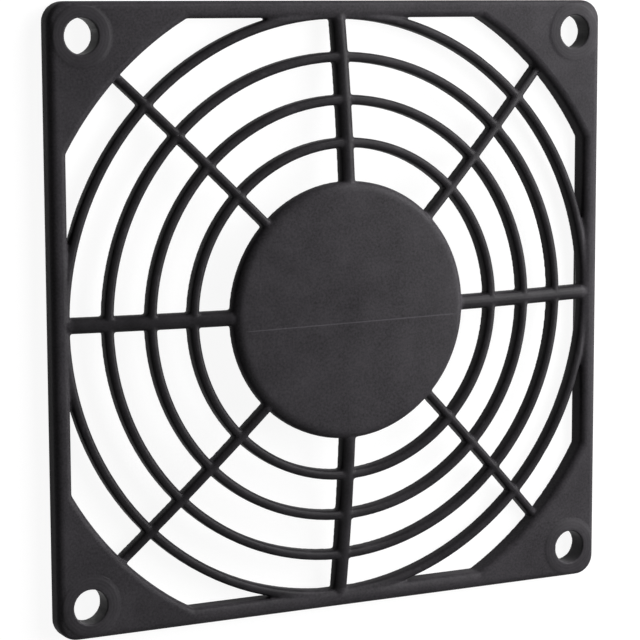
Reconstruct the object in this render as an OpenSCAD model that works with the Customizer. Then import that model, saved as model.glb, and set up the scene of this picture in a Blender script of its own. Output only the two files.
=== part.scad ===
// Fan finger guard for an 80 mm square fan, moulded in one piece of black plastic.
// A flat frame screws to the fan. Its opening is closed by rings and spokes that
// bow forward like a shallow dome, with a solid disc in front of the fan's hub.
// The back of the frame lies on Z = 0, the front faces +Z, the centre is on the Z axis.

/* [Frame] */
// Outside width and height of the square frame
frame_w = 80; // [70:0.5:92]
// Thickness of the frame
frame_t = 2.8; // [2.2:0.1:4]
// Width of the frame at the middle of each side, where it is narrowest
side_w = 2.2; // [1.6:0.1:3.4]
// Radius of the four outside corners
corner_r = 2.7; // [1.5:0.1:4]
// Rounding of the front edge, all round the outside and the opening
edge_r = 0.9; // [0.3:0.05:1]

/* [Screw holes] */
// Distance from the centre of each screw hole to the two nearest sides
hole_inset = 4.25; // [4.2:0.05:4.8]
// Diameter of the screw holes
hole_d = 4.5; // [3.4:0.1:4.8]
// Diameter of the raised pad round each screw hole
pad_d = 7.7; // [6.6:0.1:8.4]
// Height of the pad's rim above the frame
pad_rim_h = 0.1; // [0.05:0.05:0.4]
// Rise of the pad's shallow cone, from its rim to the screw hole
pad_rise = 0.1; // [0.05:0.05:0.5]

/* [Grille] */
// Number of rings
ring_count = 4; // [2:1:5]
// Width of the rings
ring_w = 1.3; // [1:0.1:2]
// Clear gap between the disc and the innermost ring
hub_gap = 4.3; // [3:0.1:5]
// Clear gap between the outermost ring and the frame, in front of each corner
corner_gap = 4.45; // [3:0.05:5]
// How far the outermost ring shows inside the frame at the middle of each side
ring_show = 0.15; // [0.1:0.05:0.4]
// Number of spokes, alternately wide and narrow
spoke_count = 8; // [4:2:12]
// Width of the wide spokes
spoke_w = 2; // [1.4:0.1:3]
// Width of the narrow spokes
narrow_spoke_w = 1.2; // [1:0.1:2]
// Depth of the rings and spokes, from their round front to their flat back
rib_depth = 1.9; // [1.5:0.1:2.4]
// Height of the domed grille at the centre, above the back of the frame
dome_h = 6.05; // [5:0.05:8]
// Height of the outermost ring's front, above the back of the frame
rim_h = 2.65; // [2.2:0.05:2.8]
// How far the fronts of the spokes stand above the fronts of the rings
spoke_proud = 0.1; // [0:0.05:0.2]

/* [Disc] */
// Diameter of the solid disc
disc_d = 33.7; // [26:0.1:40]
// How far the disc's flat front lies below the top of the dome
disc_drop = 0.05; // [0:0.05:0.3]
// Thickness of the disc
disc_t = 2.1; // [1.8:0.1:2.6]
// Rounding of the disc's front edge
disc_edge_r = 1.3; // [0.5:0.1:1.5]

/* [Hidden] */
$fn = 96;
// How far a spoke runs into the disc and into the frame
root = 1.5;
// Overshoot of cutting shapes
cut = 1;
// Half-size of shapes that have to reach past the frame
reach = frame_w;
// Height of the pads at the screw holes, above the back of the frame
pad_top = frame_t + pad_rim_h + pad_rise;
// Width of the opening, from one straight side to the other
opening_w = frame_w - 2 * side_w;
// Distance between neighbouring screw holes, centre to centre
hole_spacing = frame_w - 2 * hole_inset;
// Centre-line radii of the innermost and outermost rings, and the step between rings
inner_ring_r = disc_d / 2 + hub_gap + ring_w / 2;
outer_ring_r = opening_w / 2 - ring_show + ring_w / 2;
ring_pitch = (outer_ring_r - inner_ring_r) / (ring_count - 1);
// Radius of the arc that closes the opening in front of each corner
web_r = outer_ring_r + ring_w / 2 + corner_gap;
// Rise of the dome from the outermost ring to the centre, and the radius that gives it
dome_rise = dome_h - rim_h;
dome_r = (outer_ring_r * outer_ring_r + dome_rise * dome_rise) / (2 * dome_rise);

// Height of the dome at a given distance from the centre
function dome_z(r) = dome_h - dome_r + sqrt(dome_r * dome_r - r * r);

// Distance from the centre at which a spoke meets the opening, by its angle
function opening_reach(angle) =
    min(web_r, opening_w / 2 / max(abs(cos(angle)), abs(sin(angle))));

// Section across the whole frame, with both front edges rounded
module plate_section() {
    square_w = frame_w - 2 * edge_r;
    translate([-frame_w / 2, 0])
        square([frame_w, frame_t - edge_r]);
    translate([-square_w / 2, 0])
        square([square_w, frame_t]);
    for (side = [-1, 1])
        translate([side * square_w / 2, frame_t - edge_r])
            circle(r = edge_r);
}

// Section of an outside corner of the frame, turned about the corner's centre
module corner_section() {
    intersection() {
        translate([corner_r - frame_w / 2, 0])
            plate_section();
        square(corner_r);
    }
}

// Solid plate of the frame with round corners and a rounded front edge
module rounded_plate() {
    straight = frame_w - 2 * corner_r;
    for (turn = [0, 90])
        rotate([0, 0, turn])
            translate([0, straight / 2, 0])
                rotate([90, 0, 0])
                    linear_extrude(straight)
                        plate_section();
    for (x = [-1, 1], y = [-1, 1])
        translate([x * straight / 2, y * straight / 2, 0])
            rotate_extrude()
                corner_section();
}

// Section of the material outside the opening, its front edge rounded at the start
module bank_section(start) {
    translate([start, -cut])
        square([reach - start, frame_t - edge_r + cut]);
    translate([start + edge_r, -cut])
        square([reach - start - edge_r, frame_t + cut]);
    translate([start + edge_r, frame_t - edge_r])
        circle(r = edge_r);
}

// All that surrounds the opening: four straight banks and one round one
module opening_surround() {
    for (side = [0:3])
        rotate([0, 0, 90 * side])
            translate([0, reach, 0])
                rotate([90, 0, 0])
                    linear_extrude(2 * reach)
                        bank_section(opening_w / 2);
    rotate_extrude()
        bank_section(web_r);
}

// Raised pad round a screw hole: a low step, then a shallow cone up to the hole
module pad() {
    cylinder(d = pad_d, h = pad_top - pad_rise);
    translate([0, 0, pad_top - pad_rise])
        cylinder(d1 = pad_d, d2 = hole_d, h = pad_rise);
}

// Screw hole through frame and pad
module screw_hole() {
    translate([0, 0, -cut])
        cylinder(d = hole_d, h = pad_top + 2 * cut);
}

// Puts its children at each of the four screw holes
module at_holes() {
    for (x = [-1, 1], y = [-1, 1])
        translate([x * hole_spacing / 2, y * hole_spacing / 2, 0])
            children();
}

// Frame with its opening, pads and screw holes
module frame() {
    difference() {
        union() {
            intersection() {
                rounded_plate();
                opening_surround();
            }
            at_holes()
                pad();
        }
        at_holes()
            screw_hole();
    }
}

// Section of a ring or spoke: flat back at zero, half-round front at rib_depth
module rib_section(w) {
    translate([0, rib_depth - w / 2])
        circle(d = w);
    translate([-w / 2, 0])
        square([w, rib_depth - w / 2]);
}

// One ring, its front on the dome
module ring(r) {
    translate([0, 0, dome_z(r) - rib_depth])
        rotate_extrude()
            translate([r, 0])
                rib_section(ring_w);
}

// One spoke, bent along the dome from inside the disc into the frame
module spoke(angle, w) {
    front_r = dome_r + spoke_proud;
    inner = asin((disc_d / 2 - root) / front_r);
    outer = asin((opening_reach(angle) + root) / front_r);
    rotate([0, 0, angle])
        translate([0, 0, dome_h - dome_r])
            rotate([90, 0, 0])
                rotate([0, 0, 90 - outer])
                    rotate_extrude(angle = outer - inner)
                        translate([front_r - rib_depth, 0])
                            rotate([0, 0, -90])
                                rib_section(w);
}

// All rings and spokes, cut off level with the frame's back
module grille() {
    step = 360 / spoke_count;
    intersection() {
        union() {
            for (i = [0:ring_count - 1])
                ring(inner_ring_r + i * ring_pitch);
            for (i = [0:spoke_count - 1])
                spoke(i * step, i % 2 == 0 ? spoke_w : narrow_spoke_w);
        }
        translate([-reach, -reach, 0])
            cube(2 * reach);
    }
}

// Solid disc with a rounded front edge
module disc() {
    disc_r = disc_d / 2;
    translate([0, 0, dome_h - disc_drop - disc_t])
        rotate_extrude() {
            square([disc_r, disc_t - disc_edge_r]);
            square([disc_r - disc_edge_r, disc_t]);
            translate([disc_r - disc_edge_r, disc_t - disc_edge_r])
                intersection() {
                    circle(r = disc_edge_r);
                    square(disc_edge_r);
                }
        }
}

// The whole guard, one moulding
module fan_guard() {
    color([0.15, 0.15, 0.16]) {
        frame();
        grille();
        disc();
    }
}

fan_guard();
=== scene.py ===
import math

import bpy
from mathutils import Euler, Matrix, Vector


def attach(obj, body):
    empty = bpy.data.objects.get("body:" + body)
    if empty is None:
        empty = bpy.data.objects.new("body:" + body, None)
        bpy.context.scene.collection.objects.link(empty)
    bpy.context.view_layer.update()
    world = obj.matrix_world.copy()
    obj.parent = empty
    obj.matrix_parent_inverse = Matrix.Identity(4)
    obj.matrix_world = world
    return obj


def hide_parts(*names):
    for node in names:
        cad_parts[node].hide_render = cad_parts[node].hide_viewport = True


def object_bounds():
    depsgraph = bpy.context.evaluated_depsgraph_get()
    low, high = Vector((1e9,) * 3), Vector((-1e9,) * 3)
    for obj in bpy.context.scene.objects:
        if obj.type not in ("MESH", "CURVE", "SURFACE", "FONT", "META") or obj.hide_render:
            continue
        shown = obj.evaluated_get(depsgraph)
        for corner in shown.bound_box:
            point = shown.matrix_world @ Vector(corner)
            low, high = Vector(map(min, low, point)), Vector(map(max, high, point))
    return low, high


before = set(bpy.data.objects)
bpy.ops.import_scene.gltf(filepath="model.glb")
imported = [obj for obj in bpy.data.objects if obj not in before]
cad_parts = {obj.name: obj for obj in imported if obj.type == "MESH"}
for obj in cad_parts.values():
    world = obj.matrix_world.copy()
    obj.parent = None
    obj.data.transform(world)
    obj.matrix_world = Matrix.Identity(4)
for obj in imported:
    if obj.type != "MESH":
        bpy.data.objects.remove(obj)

cad_low, cad_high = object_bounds()

# --- Camera -----------------------------------------------------------------------------
# The guard lies on its back. The camera looks down on its front from the left and a
# little from above, through a long lens.
MM = 0.001
# Sensor and lens in millimetres, as Blender takes them
SENSOR_WIDTH = 36
LENS = 131.4
NEAREST_SEEN = 10 * MM
CAMERA_TILT = 0.1331
CAMERA_SWING = 0.4712
CAMERA_ROLL = 0.0035
# Place of the camera in its own axes: to the right, up and back from the guard
CAMERA_OFFSET = Vector((-1.56, -1.81, 308.4)) * MM

camera_data = bpy.data.cameras.new("camera")
camera_data.sensor_width = SENSOR_WIDTH
camera_data.lens = LENS
camera_data.clip_start = NEAREST_SEEN
camera = bpy.data.objects.new("camera", camera_data)
camera.rotation_mode = "ZXY"
camera.rotation_euler = Euler((-CAMERA_TILT, -CAMERA_SWING, -CAMERA_ROLL), "ZXY")
camera.location = camera.rotation_euler.to_matrix() @ CAMERA_OFFSET
scene = bpy.context.scene
scene.collection.objects.link(camera)
scene.camera = camera
scene.view_settings.view_transform = "Standard"

# --- Floor ------------------------------------------------------------------------------
# A sweep of white board: flat under the guard, curving up to a low wall far away on
# every side. It shows as white with a soft shadow, and is open from underneath.
METRE = 1000 * MM
FLOOR_RADIUS = 2 * METRE
SWEEP_RADIUS = 0.9 * METRE
SWEEP_STEPS = 10
FLOOR_SIDES = 96
FLOOR_GAP = 0.02 * MM

floor_profile = [(FLOOR_RADIUS, 0)]
for step in range(1, SWEEP_STEPS + 1):
    angle = math.pi / 2 * step / SWEEP_STEPS
    floor_profile.append((
        FLOOR_RADIUS + SWEEP_RADIUS * math.sin(angle),
        SWEEP_RADIUS * (1 - math.cos(angle))))
floor_points = [(0, 0, 0)]
floor_faces = []
for side in range(FLOOR_SIDES):
    turn = 2 * math.pi * side / FLOOR_SIDES
    for radius, height in floor_profile:
        floor_points.append((radius * math.cos(turn), radius * math.sin(turn), height))
rows = len(floor_profile)
for side in range(FLOOR_SIDES):
    here = 1 + side * rows
    there = 1 + (side + 1) % FLOOR_SIDES * rows
    floor_faces.append((0, here, there))
    for row in range(rows - 1):
        floor_faces.append((here + row, here + row + 1, there + row + 1, there + row))
floor_mesh = bpy.data.meshes.new("floor")
floor_mesh.from_pydata(floor_points, [], floor_faces)
for face in floor_mesh.polygons:
    face.use_smooth = True
floor = bpy.data.objects.new("floor", floor_mesh)
floor.location.z = cad_low.z - FLOOR_GAP
scene.collection.objects.link(floor)


def add_maths(operation, first, *others):
    """Adds a Math node; first is another node's output, and the others may be numbers."""
    tree = first.id_data
    node = tree.nodes.new("ShaderNodeMath")
    node.operation = operation
    tree.links.new(first, node.inputs[0])
    for slot, term in enumerate(others, start=1):
        if isinstance(term, bpy.types.NodeSocket):
            tree.links.new(term, node.inputs[slot])
        else:
            node.inputs[slot].default_value = term
    return node.outputs[0]


def add_seen_mask(rays):
    """Adds a mask of what is seen: by the camera, mirrored in gloss or through glass."""
    seen = add_maths("MAXIMUM", rays["Is Camera Ray"], rays["Is Glossy Ray"])
    return add_maths("MAXIMUM", seen, rays["Is Transmission Ray"])


def add_shader_mix(share, first, second):
    """Adds a mix of two shaders; share says how much of it is the second."""
    tree = share.id_data
    node = tree.nodes.new("ShaderNodeMixShader")
    tree.links.new(share, node.inputs["Fac"])
    tree.links.new(first, node.inputs[1])
    tree.links.new(second, node.inputs[2])
    return node.outputs[0]


# What is seen of the board is mostly its own white, and the rest takes light and shadow
BOARD_WHITE = 0.92
BOARD_SHADE = 0.14
# How grey the board is to the light that it throws back on the guard
BOARD_GREY = 0.15

board = bpy.data.materials.new("white_board")
board.use_nodes = True
floor_mesh.materials.append(board)
nodes = board.node_tree.nodes
links = board.node_tree.links
nodes.clear()
rays = nodes.new("ShaderNodeLightPath").outputs
white = nodes.new("ShaderNodeEmission")
white.inputs["Strength"].default_value = BOARD_WHITE
shade = nodes.new("ShaderNodeBsdfDiffuse")
shade.inputs["Color"].default_value = (BOARD_SHADE, BOARD_SHADE, BOARD_SHADE, 1)
shown = nodes.new("ShaderNodeAddShader")
links.new(white.outputs[0], shown.inputs[0])
links.new(shade.outputs[0], shown.inputs[1])
grey = nodes.new("ShaderNodeBsdfDiffuse")
grey.inputs["Color"].default_value = (BOARD_GREY, BOARD_GREY, BOARD_GREY, 1)
surface = add_shader_mix(add_seen_mask(rays), grey.outputs[0], shown.outputs[0])
# Its underside is clear, and light from below goes through it to the guard's back
clear = nodes.new("ShaderNodeBsdfTransparent")
geometry = nodes.new("ShaderNodeNewGeometry")
let_through = add_maths(
    "MAXIMUM", geometry.outputs["Backfacing"], rays["Is Shadow Ray"])
one_sided = add_shader_mix(let_through, surface, clear.outputs[0])
output = nodes.new("ShaderNodeOutputMaterial")
links.new(one_sided, output.inputs["Surface"])

# --- Lights -----------------------------------------------------------------------------
# Soft boxes on the right of the guard and past its upper right corner, a weak one on its
# left, one that lights its back through the board, and a dim room.
guard_middle = (cad_low + cad_high) / 2


def add_soft_box(name, place, width, radiance):
    """Adds a square lamp that faces the guard; place and width are in millimetres."""
    data = bpy.data.lights.new(name, "AREA")
    data.shape = "RECTANGLE"
    data.size = width * MM
    data.size_y = width * MM
    data.energy = radiance * math.pi * data.size * data.size_y
    box = bpy.data.objects.new(name, data)
    box.location = Vector(place) * MM
    box.rotation_euler = (box.location - guard_middle).to_track_quat("Z", "Y").to_euler()
    scene.collection.objects.link(box)


add_soft_box("key_light", place=(180, 40, 150), width=200, radiance=5.6)
add_soft_box("side_light", place=(270, 0, 75), width=200, radiance=2.6)
add_soft_box("corner_light", place=(160, 160, 85), width=200, radiance=6.8)
add_soft_box("fill_light", place=(-90, -180, 150), width=200, radiance=0.7)
add_soft_box("back_light", place=(0, 0, -500), width=150, radiance=14)

# The room gives little light, and shows as white round the board
ROOM_LIGHT = 0.02

room = bpy.data.worlds.new("room")
room.use_nodes = True
scene.world = room
nodes = room.node_tree.nodes
links = room.node_tree.links
rays = nodes.new("ShaderNodeLightPath").outputs
strength = nodes.new("ShaderNodeMapRange")
strength.inputs["To Min"].default_value = ROOM_LIGHT
links.new(add_seen_mask(rays), strength.inputs["Value"])
background = nodes["Background"]
background.inputs["Color"].default_value = (1, 1, 1, 1)
links.new(strength.outputs[0], background.inputs["Strength"])

# --- Guard ------------------------------------------------------------------------------
# Frame, domed rings and spokes, and disc: one injection moulding in black plastic, which
# four screws hold to the fan. Its surface is taken from the solid and softened as a mould
# leaves it, with small fillets where ribs meet and no edge quite sharp.
WELD_REACH = 0.001 * MM
GRID = 0.14 * MM
SOFTENING_STEPS = 8
SOFTENING = 0.5
TRIANGLES = 190000
TRIANGLES_PER_FACE = 2

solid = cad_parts["fan_guard"]
softened = bpy.data.objects.new("softened", solid.data.copy())
scene.collection.objects.link(softened)
weld = softened.modifiers.new("weld", "WELD")
weld.merge_threshold = WELD_REACH
grid = softened.modifiers.new("grid", "REMESH")
grid.mode = "VOXEL"
grid.voxel_size = GRID
soften = softened.modifiers.new("soften", "SMOOTH")
soften.factor = SOFTENING
soften.iterations = SOFTENING_STEPS
evaluated = softened.evaluated_get(bpy.context.evaluated_depsgraph_get())
grid_faces = len(evaluated.data.polygons)
thin_out = softened.modifiers.new("thin_out", "DECIMATE")
thin_out.ratio = TRIANGLES / (TRIANGLES_PER_FACE * grid_faces)
evaluated = softened.evaluated_get(bpy.context.evaluated_depsgraph_get())
guard_mesh = bpy.data.meshes.new_from_object(evaluated)
bpy.data.objects.remove(softened)

guard_mesh.name = "fan_guard_moulding"
for face in guard_mesh.polygons:
    face.use_smooth = True
guard = bpy.data.objects.new("fan_guard_moulding", guard_mesh)
scene.collection.objects.link(guard)
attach(guard, "root")
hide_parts("fan_guard")


def add_ramp(value, low, high, low_result, high_result):
    """Adds a smooth step from one result to another between two values."""
    tree = value.id_data
    node = tree.nodes.new("ShaderNodeMapRange")
    node.interpolation_type = "SMOOTHSTEP"
    tree.links.new(value, node.inputs["Value"])
    node.inputs["From Min"].default_value = low
    node.inputs["From Max"].default_value = high
    node.inputs["To Min"].default_value = low_result
    node.inputs["To Max"].default_value = high_result
    return node.outputs["Result"]


def add_noise(place, scale, detail, fine_share):
    """Adds noise from 0 to 1; fine_share says how strong its finer details are."""
    tree = place.id_data
    node = tree.nodes.new("ShaderNodeTexNoise")
    tree.links.new(place, node.inputs["Vector"])
    node.inputs["Scale"].default_value = scale
    node.inputs["Detail"].default_value = detail
    node.inputs["Roughness"].default_value = fine_share
    return node.outputs["Fac"]


def add_length(first, second):
    """Adds the length that two sides at a right angle span."""
    first_square = add_maths("POWER", first, 2)
    second_square = add_maths("POWER", second, 2)
    return add_maths("SQRT", add_maths("ADD", first_square, second_square))


# Black plastic. Places and sizes of all marks on it are in millimetres
PLASTIC_COLOUR = (0.0325, 0.0304, 0.0337)

plastic = bpy.data.materials.new("grained_plastic")
plastic.use_nodes = True
guard_mesh.materials.clear()
guard_mesh.materials.append(plastic)
nodes = plastic.node_tree.nodes
links = plastic.node_tree.links
shader = nodes["Principled BSDF"]
coordinates = nodes.new("ShaderNodeTexCoord")
to_millimetres = nodes.new("ShaderNodeVectorMath")
to_millimetres.operation = "SCALE"
to_millimetres.inputs["Scale"].default_value = 1 / MM
links.new(coordinates.outputs["Object"], to_millimetres.inputs[0])
place = to_millimetres.outputs[0]
axes = nodes.new("ShaderNodeSeparateXYZ")
links.new(place, axes.inputs[0])
across, up, height = axes.outputs

# It has the fine grain of a spark-eroded mould, and faint clouds where the melt flowed
GRAIN_SCALE = 3.2
GRAIN_DETAIL = 2
GRAIN_FINE_SHARE = 0.6
GRAIN_STRENGTH = 1.1
CLOUD_SCALE = 0.22
CLOUD_DETAIL = 3
CLOUD_FINE_SHARE = 0.55
CLOUD_STRENGTH = 0.75
NOISE_MEAN = 0.5

grain = add_noise(place, GRAIN_SCALE, GRAIN_DETAIL, GRAIN_FINE_SHARE)
clouds = add_noise(place, CLOUD_SCALE, CLOUD_DETAIL, CLOUD_FINE_SHARE)
grain_part = add_maths(
    "MULTIPLY", add_maths("SUBTRACT", grain, NOISE_MEAN), GRAIN_STRENGTH)
cloud_part = add_maths(
    "MULTIPLY", add_maths("SUBTRACT", clouds, NOISE_MEAN), CLOUD_STRENGTH)

# The flow fronts met on the disc in a hair-thin pale line, almost level across it
DISC_FRONT = 5.9
DISC_FRONT_FADE = 0.05
KNIT_SLOPE = 0.0141
KNIT_PLACE = -1.47
KNIT_HALF_LENGTH = 15.6
KNIT_END_FADE = 1
KNIT_HALF_WIDTH = 0.14
KNIT_STRENGTH = 0.8

on_disc = add_ramp(height, DISC_FRONT, DISC_FRONT + DISC_FRONT_FADE, 0, 1)
knit_line = add_maths("MULTIPLY_ADD", across, KNIT_SLOPE, KNIT_PLACE)
knit_distance = add_maths("ABSOLUTE", add_maths("SUBTRACT", up, knit_line))
knit = add_ramp(knit_distance, 0, KNIT_HALF_WIDTH, 1, 0)
knit_ends = add_ramp(
    add_maths("ABSOLUTE", across),
    KNIT_HALF_LENGTH - KNIT_END_FADE, KNIT_HALF_LENGTH, 1, 0)
knit = add_maths("MULTIPLY", add_maths("MULTIPLY", knit, knit_ends), on_disc)
knit_part = add_maths("MULTIPLY", knit, KNIT_STRENGTH)

# A faint darker spot near the middle of the disc
DARK_SPOT_PLACE = (0.3, 1.0, 6.0)
DARK_SPOT_RADIUS = 2.4
DARK_SPOT_STRENGTH = 0.12

to_dark_spot = nodes.new("ShaderNodeVectorMath")
to_dark_spot.operation = "DISTANCE"
links.new(place, to_dark_spot.inputs[0])
to_dark_spot.inputs[1].default_value = DARK_SPOT_PLACE
dark_spot = add_ramp(to_dark_spot.outputs["Value"], 0, DARK_SPOT_RADIUS, 1, 0)
dark_spot_part = add_maths("MULTIPLY", dark_spot, -DARK_SPOT_STRENGTH)

# The inserts that form the pads were turned, and left faint, wavering rings round the
# screw holes
HOLE_PLACE = 35.75
TURNING_REACH = 5.2
TURNING_FADE = 2
TURNING_PITCH = 0.42
TURNING_WAVER = 6
TURNING_STRENGTH = 0.07

hole_distance = add_length(
    add_maths("SUBTRACT", add_maths("ABSOLUTE", across), HOLE_PLACE),
    add_maths("SUBTRACT", add_maths("ABSOLUTE", up), HOLE_PLACE))
turning = add_maths("SINE", add_maths(
    "MULTIPLY_ADD", hole_distance, 2 * math.pi / TURNING_PITCH,
    add_maths("MULTIPLY", clouds, TURNING_WAVER)))
turning = add_maths("MULTIPLY", turning, add_ramp(
    hole_distance, TURNING_REACH - TURNING_FADE, TURNING_REACH, 1, 0))
turning_part = add_maths("MULTIPLY", turning, TURNING_STRENGTH)

# Edges are painted a little paler, a painted highlight along them, and are smoother.
# Pointiness is 0.5 on a flat surface
EDGE_START = 0.53
EDGE_FULL = 0.62
EDGE_HIGHLIGHT_STRENGTH = 0.25

geometry = nodes.new("ShaderNodeNewGeometry")
edge = add_ramp(geometry.outputs["Pointiness"], EDGE_START, EDGE_FULL, 0, 1)
# Painted highlight: a paler colour along the rounded edges
edge_highlight_part = add_maths("MULTIPLY", edge, EDGE_HIGHLIGHT_STRENGTH)

# All of it has a faint shine. The parts of the mould that form the rings, the spokes and
# the pads are polished, and the pins that leave the screw holes most of all: there the
# plastic shines more and has less grain. The rings and spokes are also painted darker:
# painted shade, standing in for the shade among the ribs
DISC_REACH = 17
DISC_REACH_FADE = 0.3
OPENING_REACH = 37.7
CORNER_REACH = 42.6
OPENING_FADE = 0.4
PAD_REACH = 3.85
WALL_REACH = 2.4
PAD_FADE = 0.1
GRAIN_POLISHED_OFF = 0.6
RIB_PAINTED_SHADE = 0.4
BASE_GLOSS = 0.005
SHINE_ROUGHNESS = 0.22
PLAIN_SHINE = 0.06
RIB_SHINE = 0.03
PAD_SHINE = 0.02
WALL_SHINE = 0.07

shader.inputs["Specular IOR Level"].default_value = BASE_GLOSS
shader.inputs["Coat Roughness"].default_value = SHINE_ROUGHNESS
middle_distance = add_length(across, up)
side_distance = add_maths(
    "MAXIMUM", add_maths("ABSOLUTE", across), add_maths("ABSOLUTE", up))
ribs = add_ramp(
    middle_distance, DISC_REACH - DISC_REACH_FADE, DISC_REACH + DISC_REACH_FADE, 0, 1)
for distance, reach in (
        (side_distance, OPENING_REACH), (middle_distance, CORNER_REACH)):
    inside = add_ramp(distance, reach - OPENING_FADE, reach, 1, 0)
    ribs = add_maths("MULTIPLY", ribs, inside)
pads = add_ramp(hole_distance, PAD_REACH - PAD_FADE, PAD_REACH + PAD_FADE, 1, 0)
hole_walls = add_ramp(hole_distance, WALL_REACH - PAD_FADE, WALL_REACH, 1, 0)
polish = add_maths("MAXIMUM", ribs, pads)
shine = add_maths("MULTIPLY_ADD", ribs, RIB_SHINE, PLAIN_SHINE)
shine = add_maths("MULTIPLY_ADD", pads, PAD_SHINE, shine)
shine = add_maths("MULTIPLY_ADD", hole_walls, WALL_SHINE, shine)
links.new(shine, shader.inputs["Coat Weight"])
# Painted shade: the rings and spokes get a darker colour
rib_shade_part = add_maths("MULTIPLY", ribs, -RIB_PAINTED_SHADE)
grain_part = add_maths(
    "MULTIPLY", grain_part, add_maths("MULTIPLY_ADD", polish, -GRAIN_POLISHED_OFF, 1))

# Each mark makes the colour lighter or darker by its part; the rib part is painted shade
# and the edge part a painted highlight
lightness = add_maths("ADD", grain_part, 1)
for part in (cloud_part, knit_part, dark_spot_part, turning_part, edge_highlight_part, rib_shade_part):
    lightness = add_maths("ADD", lightness, part)
colour = nodes.new("ShaderNodeVectorMath")
colour.operation = "SCALE"
colour.inputs[0].default_value = PLASTIC_COLOUR
links.new(lightness, colour.inputs["Scale"])
links.new(colour.outputs[0], shader.inputs["Base Color"])

# Grain and clouds make it rougher, edges and polish smoother
PLAIN_ROUGHNESS = 0.36
GRAIN_ROUGHENING = 0.2
CLOUD_ROUGHENING = 0.1
EDGE_SMOOTHING = 0.08
POLISH_SMOOTHING = 0.08

roughness = add_maths("MULTIPLY_ADD", grain, GRAIN_ROUGHENING, PLAIN_ROUGHNESS)
for mask, amount in (
        (clouds, CLOUD_ROUGHENING), (edge, -EDGE_SMOOTHING), (polish, -POLISH_SMOOTHING)):
    roughness = add_maths("MULTIPLY_ADD", mask, amount, roughness)
links.new(roughness, shader.inputs["Roughness"])

# Grain, turned rings and flow line can be felt
RELIEF_HEIGHT = 0.012 * MM
TURNING_RELIEF = 0.15

relief = add_maths("MULTIPLY_ADD", turning, TURNING_RELIEF, grain)
bump = nodes.new("ShaderNodeBump")
bump.inputs["Distance"].default_value = RELIEF_HEIGHT
links.new(add_maths("ADD", relief, knit), bump.inputs["Height"])
links.new(bump.outputs[0], shader.inputs["Normal"])
